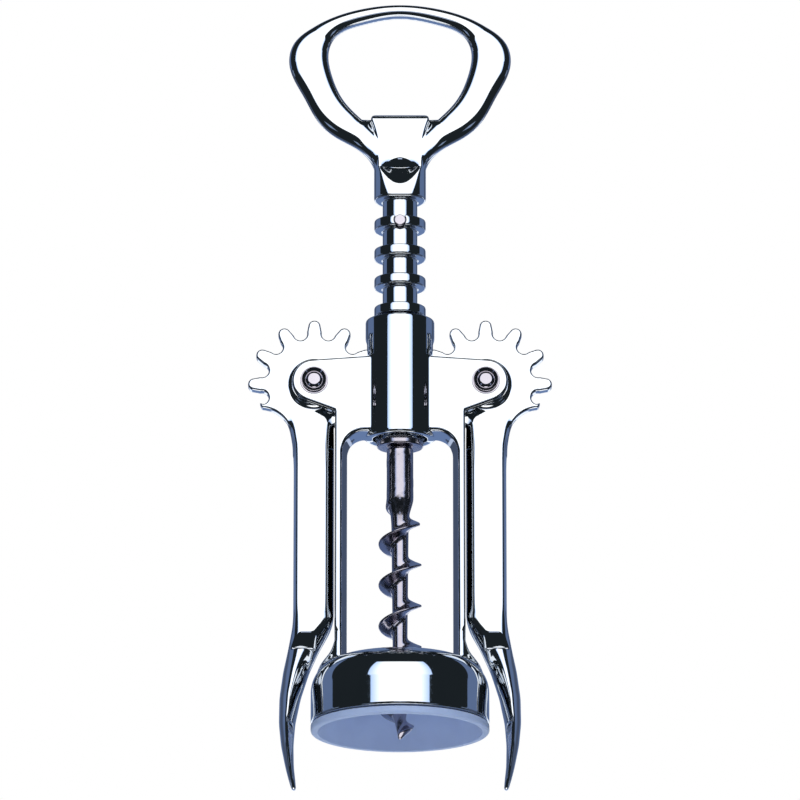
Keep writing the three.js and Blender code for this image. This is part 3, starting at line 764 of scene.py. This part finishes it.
def make_handle():
    fine, finer, finest = 0.27, 0.25, 0.14
    across = stations((-27, -6.6, fine), (-6.6, 6.6, finer), (6.6, 27, fine))
    deep = stations((-6.6, 6.6, finer))
    rack, loop = (67, 124, fine), (137, LOOP_TOP + 0.7, fine)
    scoop_bottom, crease, scoop_top = (124, 131.2, finest), (131.2, 132, 0.05), (132, 137, finest)
    up = stations(rack, scoop_bottom, crease, scoop_top, loop)
    points, quads, normals = solid_mesh(handle_field(), (across, deep, up))
    piece = new_object("handle_casting", points, quads, normals)
    return installed(piece, "opener_handle", chrome)


# ---- Worm ----


def worm_field(x, y, z):
    """The blade's helix on a tapered core, the thick shank and the thin stem with its pin hole."""
    radius = np.hypot(x, y)
    turn = np.arctan2(y, x) / (2 * math.pi)
    along = (z - WORM_AT_PLUS_X) / WORM_PITCH - turn
    from_blade = (along - np.round(along)) * WORM_PITCH
    lead = WORM_PITCH / (2 * math.pi * np.maximum(radius, 1.5))
    across_blade = np.abs(from_blade) / np.hypot(1, lead)

    reach = np.interp(z, *zip(*BLADE_REACH))
    thickness = BLADE_EDGE + BLADE_TAPER * (WORM_RADIUS - radius)
    blade = both(radius - reach, across_blade - thickness, 0.2)
    blade = both(blade, WORM_TIP - z, SMALL_EDGE)

    core_radius = softened(*zip(*CORE_PROFILE), 0.5)(z)
    core = both(radius - core_radius, np.maximum(WORM_TIP - z, z - SHANK_TOP), SMALL_EDGE)
    stem = np.maximum(radius - STEM_RADIUS, np.abs(z - STEM_MIDDLE) - (STEM_TOP - STEM_MIDDLE))
    pin_hole = np.hypot(x, z - TOP_RING_Z) - PIN_RADIUS - PIN_GAP
    return np.maximum(either(either(core, blade, BLADE_FILLET), stem), -pin_hole)


def make_worm():
    fine, coarse = 0.22, 1.5
    across = stations((-5.4, 5.4, 0.2))
    up = stations((WORM_TIP - 0.5, 66.2, fine), (66.2, 114, coarse), (114, STEM_TOP + 0.5, fine))
    points, quads, normals = solid_mesh(worm_field, (across, across, up))
    piece = new_object("worm_blade_and_stem", points, quads, normals)
    return installed(piece, "worm", worm_steel)


# ---- Turned pieces ----


def make_liner():
    """The plastic liner: a flat lip, a tapered inside and a throat that guides the worm."""
    outer_round = SHOULDER_ROUND - BELL_WALL - GAP
    inner_round = outer_round - LINER_WALL
    outer_shoulder = arc((SHOULDER_CENTRE_RADIUS, SHOULDER_Z), outer_round, 0, math.pi / 2, 16)
    inner_centre = (SHOULDER_CENTRE_RADIUS - LINER_TAPER, SHOULDER_Z)
    inner_shoulder = arc(inner_centre, inner_round, math.pi / 2, 0, 16)
    lip = rounded_profile(
        [
            (LIP_INNER_RADIUS, 0.2, 0),
            (LIP_INNER_RADIUS + 0.1, 0, 0.08),
            (BELL_RADIUS, 0, 0.5),
            (BELL_RADIUS, LIP_HEIGHT, 0.2),
            (BELL_RADIUS - BELL_WALL - GAP, LIP_HEIGHT, 0),
        ]
    )
    throat = [(LINER_THROAT, SHOULDER_Z + outer_round), (LINER_THROAT, SHOULDER_Z + inner_round)]
    profile = lip + outer_shoulder + throat + inner_shoulder
    piece = turned_piece("bell_liner", profile, sides=144, closed=True)
    return installed(piece, "bell_insert", frosted_plastic)


def make_rivets():
    """Each rivet has a dished collar round its turned-over end, on both faces of the ears."""
    face = CASTING_HALF_DEPTH
    head = [
        (RIVET_RADIUS, face - 0.3, 0),
        (RIVET_RADIUS, face + 0.02, 0),
        (RIVET_HEAD_RADIUS + RIVET_FOOT, face + 0.02, 0),
        (RIVET_HEAD_RADIUS + 0.3, face + 0.14, 0.05),
        (RIVET_HEAD_RADIUS, face + 0.16, 0),
        (RIVET_HEAD_RADIUS, face + RIVET_RIM, 0.08),
        (RIVET_HEAD_RADIUS - 0.12, face + RIVET_RIM, 0.05),
        (RIVET_RADIUS + 0.2, face + 0.72, 0.05),
        (RIVET_RADIUS, face + 0.9, 0.1),
        (RIVET_RADIUS - 0.45, face + 1.15, 0.6),
        (0, face + RIVET_STUD, 0),
    ]
    half = rounded_profile(head)
    profile = [(radius, -z) for radius, z in half[::-1]] + half
    for side, x in (("left", -PIVOT_X), ("right", PIVOT_X)):
        piece = turned_piece("rivet_" + side, profile, sides=64)
        laid_along_y(piece, x, PIVOT_Z)
        installed(piece, "pivot_rivet_" + side, rivet_steel)


def make_pin():
    half = rounded_profile([(PIN_RADIUS, 0, 0), (PIN_RADIUS, PIN_END, 0.25), (0, PIN_END, 0)])
    profile = [(radius, -z) for radius, z in half[:0:-1]] + half
    piece = laid_along_y(turned_piece("worm_cross_pin", profile, sides=48), 0, TOP_RING_Z)
    return installed(piece, "worm_pin", rivet_steel)


def make_washer():
    hole = STEM_RADIUS + GAP
    corners = [
        (hole, WASHER_BOTTOM, 0),
        (WASHER_RADIUS, WASHER_BOTTOM, 0.35),
        (WASHER_RADIUS, WASHER_TOP, 0.3),
        (hole, WASHER_TOP, 0),
    ]
    piece = turned_piece("shank_stop_washer", rounded_profile(corners), closed=True)
    return installed(piece, "stop_washer", worm_steel)


# ---- Materials ----


def node(tree, kind, inputs=None, **settings):
    """One node with its settings and input values; a (node, output) pair is a link."""
    made = tree.nodes.new(kind)
    for name, value in settings.items():
        setattr(made, name, value)
    for name, value in (inputs or {}).items():
        if isinstance(value, tuple) and isinstance(value[0], bpy.types.Node):
            tree.links.new(value[0].outputs[value[1]], made.inputs[name])
        else:
            made.inputs[name].default_value = value
    return made


def ramp(tree, factor, stops, interpolation="EASE"):
    """A colour ramp of (position, colour) stops."""
    made = node(tree, "ShaderNodeValToRGB", {"Fac": factor})
    made.color_ramp.interpolation = interpolation
    elements = made.color_ramp.elements
    while len(elements) < len(stops):
        elements.new(0.5)
    for element, (position, colour) in zip(elements, stops):
        element.position = position
        element.color = (*colour, 1)
    return made


def metal(name, colour, dark_colour, roughness, rough_spread, grain, bump):
    """Polished metal: faint clouds of tone and haze, and a fine grain in the surface."""
    material = bpy.data.materials.new(name)
    material.use_nodes = True
    tree = material.node_tree
    shader = tree.nodes["Principled BSDF"]
    shader.inputs["Metallic"].default_value = 1
    place = (node(tree, "ShaderNodeTexCoord"), "Object")
    clouds = node(tree, "ShaderNodeTexNoise", {"Vector": place, "Scale": 90, "Detail": 4})
    fine = node(tree, "ShaderNodeTexNoise", {"Vector": place, "Scale": grain, "Detail": 3})
    tone = ramp(tree, (clouds, "Fac"), [(0.3, dark_colour), (0.7, colour)])
    haze = node(
        tree,
        "ShaderNodeMapRange",
        {
            "Value": (fine, "Fac"),
            "From Min": 0.35,
            "From Max": 0.75,
            "To Min": roughness,
            "To Max": roughness + rough_spread,
        },
    )
    relief = node(
        tree,
        "ShaderNodeBump",
        {"Height": (fine, "Fac"), "Strength": bump, "Distance": 0.00002},
    )
    tree.links.new(tone.outputs["Color"], shader.inputs["Base Color"])
    tree.links.new(haze.outputs["Result"], shader.inputs["Roughness"])
    tree.links.new(relief.outputs["Normal"], shader.inputs["Normal"])
    return material


def plastic(name):
    """Frosted moulded plastic, a little see-through at its lip."""
    material = bpy.data.materials.new(name)
    material.use_nodes = True
    tree = material.node_tree
    shader = tree.nodes["Principled BSDF"]
    shader.inputs["Roughness"].default_value = 0.42
    shader.inputs["Subsurface Weight"].default_value = 0.35
    shader.inputs["Subsurface Radius"].default_value = (0.0012, 0.0015, 0.002)
    place = (node(tree, "ShaderNodeTexCoord"), "Object")
    clouds = node(tree, "ShaderNodeTexNoise", {"Vector": place, "Scale": 120, "Detail": 5})
    tone = ramp(tree, (clouds, "Fac"), [(0.3, (0.43, 0.54, 0.79)), (0.7, (0.48, 0.6, 0.86))])
    frosting = node(tree, "ShaderNodeTexNoise", {"Vector": place, "Scale": 2500, "Detail": 2})
    relief = node(
        tree,
        "ShaderNodeBump",
        {"Height": (frosting, "Fac"), "Strength": 0.25, "Distance": 0.00004},
    )
    tree.links.new(tone.outputs["Color"], shader.inputs["Base Color"])
    tree.links.new(relief.outputs["Normal"], shader.inputs["Normal"])
    return material


chrome = metal("chrome", (0.69, 0.71, 0.735), (0.65, 0.675, 0.7), 0.03, 0.03, 1800, 0.03)
worm_steel = metal("worm_steel", (0.46, 0.43, 0.48), (0.34, 0.32, 0.37), 0.12, 0.14, 1300, 0.25)
rivet_steel = metal("rivet_steel", (0.52, 0.485, 0.54), (0.46, 0.43, 0.48), 0.05, 0.05, 1500, 0.05)
frosted_plastic = plastic("insert_plastic")

make_frame()
make_levers()
make_handle()
make_worm()
make_liner()
make_rivets()
make_pin()
make_washer()


# ---- Studio ----

WHITE = (1.75, 1.78, 1.8)
PALE_BLUE = (0.75, 1.0, 1.5)
PANEL = (0.62, 0.72, 0.95)
LOW_PANEL = (0.26, 0.34, 0.5)
DARK = (0.015, 0.02, 0.024)
SLATE = (0.14, 0.205, 0.37)
PALE_SLATE = (0.18, 0.27, 0.5)
DEEP_SLATE = (0.075, 0.1, 0.165)
REAR_PANEL = (1.15, 1.25, 1.4)


def studio_world():
    """A white softbox in front, dark walls beside it, blue-grey behind, a white floor and backdrop.
    The tones depend only on the world direction that a ray leaves in."""
    world = bpy.data.worlds.new("studio")
    bpy.context.scene.world = world
    world.use_nodes = True
    tree = world.node_tree
    tree.nodes.clear()

    def link(value, socket):
        if isinstance(value, tuple) and isinstance(value[0], bpy.types.Node):
            tree.links.new(value[0].outputs[value[1]], socket)
        else:
            socket.default_value = (*value, 1) if isinstance(value, tuple) else value

    def math_node(operation, *values):
        made = node(tree, "ShaderNodeMath", operation=operation)
        for socket, value in zip(made.inputs, values):
            link(value, socket)
        return (made, 0)

    def above(value, threshold, soft):
        """0 below the threshold, 1 above it, with a soft change between."""
        made = node(tree, "ShaderNodeMapRange", interpolation_type="SMOOTHSTEP")
        for socket, number in zip(made.inputs, (value, threshold - soft, threshold + soft)):
            link(number, socket)
        return (made, 0)

    def mixed(share, low, high):
        made = node(tree, "ShaderNodeMix", data_type="RGBA")
        for socket, value in zip((0, 6, 7), (share, low, high)):
            link(value, made.inputs[socket])
        return (made, 2)

    direction = node(tree, "ShaderNodeTexCoord")
    split = node(tree, "ShaderNodeSeparateXYZ", {"Vector": (direction, "Generated")})
    left_right, front_back, up = ((split, axis) for axis in "XYZ")
    towards = math_node("MULTIPLY", front_back, -1.0)
    turn = math_node("ARCTAN2", math_node("ABSOLUTE", left_right), towards)
    azimuth = math_node("DEGREES", turn)
    elevation = math_node("DEGREES", math_node("ARCSINE", up))

    def bands(stops, soft=0.7):
        """Tones round the compass, each from its azimuth on, from the front (0) to the back (180)."""
        points = [(0, stops[0][1])]
        for (start, tone), (_, before) in zip(stops[1:], stops):
            points += [((start - soft) / 180, before), ((start + soft) / 180, tone)]
        made = ramp(tree, math_node("DIVIDE", azimuth, 180.0), points, "LINEAR")
        return (made, 0)

    # Above eye level: a softbox that is wider at the top, dark walls, and blue-grey behind
    wider = math_node("MULTIPLY", above(elevation, 14.1, 0.6), 4.0)
    half_width = math_node("ADD", wider, 39.0)
    share = math_node("DIVIDE", azimuth, half_width)
    stops = [(0, WHITE), (0.6, WHITE), (0.97, PALE_BLUE), (0.99, DARK)]
    softbox = (ramp(tree, share, stops, "LINEAR"), 0)
    high = mixed(above(elevation, 55.0, 1.5), softbox, DARK)
    behind = math_node("MULTIPLY_ADD", up, -0.5, front_back)
    rear = bands([(0, SLATE), (136, DEEP_SLATE), (156, SLATE)], 4.0)
    high = mixed(above(behind, 0.014, 0.012), high, rear)

    # Below it, from the floor up: dark walls with small panels, each zone from its elevation on
    plain = [(0, DARK), (99, DEEP_SLATE), (140, PALE_SLATE)]
    zones = [
        (-62.0, 3.0, plain),
        (-29.0, 1.0, [(0, DARK), (37, LOW_PANEL), (53, DARK), (99, DEEP_SLATE), (140, PALE_SLATE)]),
        (-20.0, 1.0, [(0, DARK), (99, DEEP_SLATE), (120, PANEL), (143, PALE_SLATE)]),
        (-11.0, 1.0, [(0, DARK), (99, DEEP_SLATE), (150, REAR_PANEL)]),
        (-6.5, 1.0, [(0, PANEL), (8, DARK), (85, LOW_PANEL), (96, DEEP_SLATE), (150, REAR_PANEL)]),
        (0.5, 1.0, [(0, DARK), (99, DEEP_SLATE), (150, REAR_PANEL)]),
    ]
    tones = WHITE
    for start, soft, stops in zones:
        tones = mixed(above(elevation, start, soft), tones, bands(stops))
    tones = mixed(above(elevation, 3.5, 0.7), tones, high)

    backdrop = node(tree, "ShaderNodeBackground", {"Color": (1, 1, 1, 1)})
    seen = node(tree, "ShaderNodeBackground", {"Color": tones})
    path = node(tree, "ShaderNodeLightPath")
    blend = node(tree, "ShaderNodeMixShader", {0: (path, "Is Camera Ray")})
    tree.links.new(seen.outputs[0], blend.inputs[1])
    tree.links.new(backdrop.outputs[0], blend.inputs[2])
    output = node(tree, "ShaderNodeOutputWorld")
    tree.links.new(blend.outputs[0], output.inputs["Surface"])


def make_floor():
    """A plain pale floor, low enough for the camera to look up at the object from above it."""
    size, drop = 4.0, -0.62
    bm = bmesh.new()
    bmesh.ops.create_grid(bm, x_segments=8, y_segments=8, size=size)
    mesh = bpy.data.meshes.new("floor")
    bm.to_mesh(mesh)
    bm.free()
    floor = bpy.data.objects.new("floor", mesh)
    floor.location.z = drop
    bpy.context.scene.collection.objects.link(floor)
    material = bpy.data.materials.new("pale_floor")
    material.use_nodes = True
    shader = material.node_tree.nodes["Principled BSDF"]
    shader.inputs["Base Color"].default_value = (0.85, 0.86, 0.87, 1)
    shader.inputs["Roughness"].default_value = 0.9
    shader.inputs["Emission Color"].default_value = (1, 1, 1, 1)
    shader.inputs["Emission Strength"].default_value = 0.45
    mesh.materials.append(material)
    floor.visible_glossy = False


# The camera, in metres and degrees: the picture is VIEW_WIDTH across at the object
CAMERA_ELEVATION = -15.5
CAMERA_DISTANCE = 1.75
AIM_BELOW_CENTRE = 0.0017
VIEW_WIDTH = 0.181
SENSOR_WIDTH = 36


def make_camera():
    """The camera is in front and looks up at the object from below."""
    low, high = (np.array(corner) for corner in cad_box)
    centre = Vector((low + high) / 2) - Vector((0, 0, AIM_BELOW_CENTRE))
    elevation, distance = math.radians(CAMERA_ELEVATION), CAMERA_DISTANCE
    back = Vector((0, -math.cos(elevation), math.sin(elevation)))
    data = bpy.data.cameras.new("camera")
    data.sensor_width = SENSOR_WIDTH
    data.lens = SENSOR_WIDTH * distance / VIEW_WIDTH
    camera = bpy.data.objects.new("camera", data)
    bpy.context.scene.collection.objects.link(camera)
    camera.location = centre + back * distance
    camera.rotation_mode = "QUATERNION"
    camera.rotation_quaternion = (-back).to_track_quat("-Z", "Y")
    bpy.context.scene.camera = camera


studio_world()
make_floor()
make_camera()
bpy.context.scene.view_settings.view_transform = "Standard"
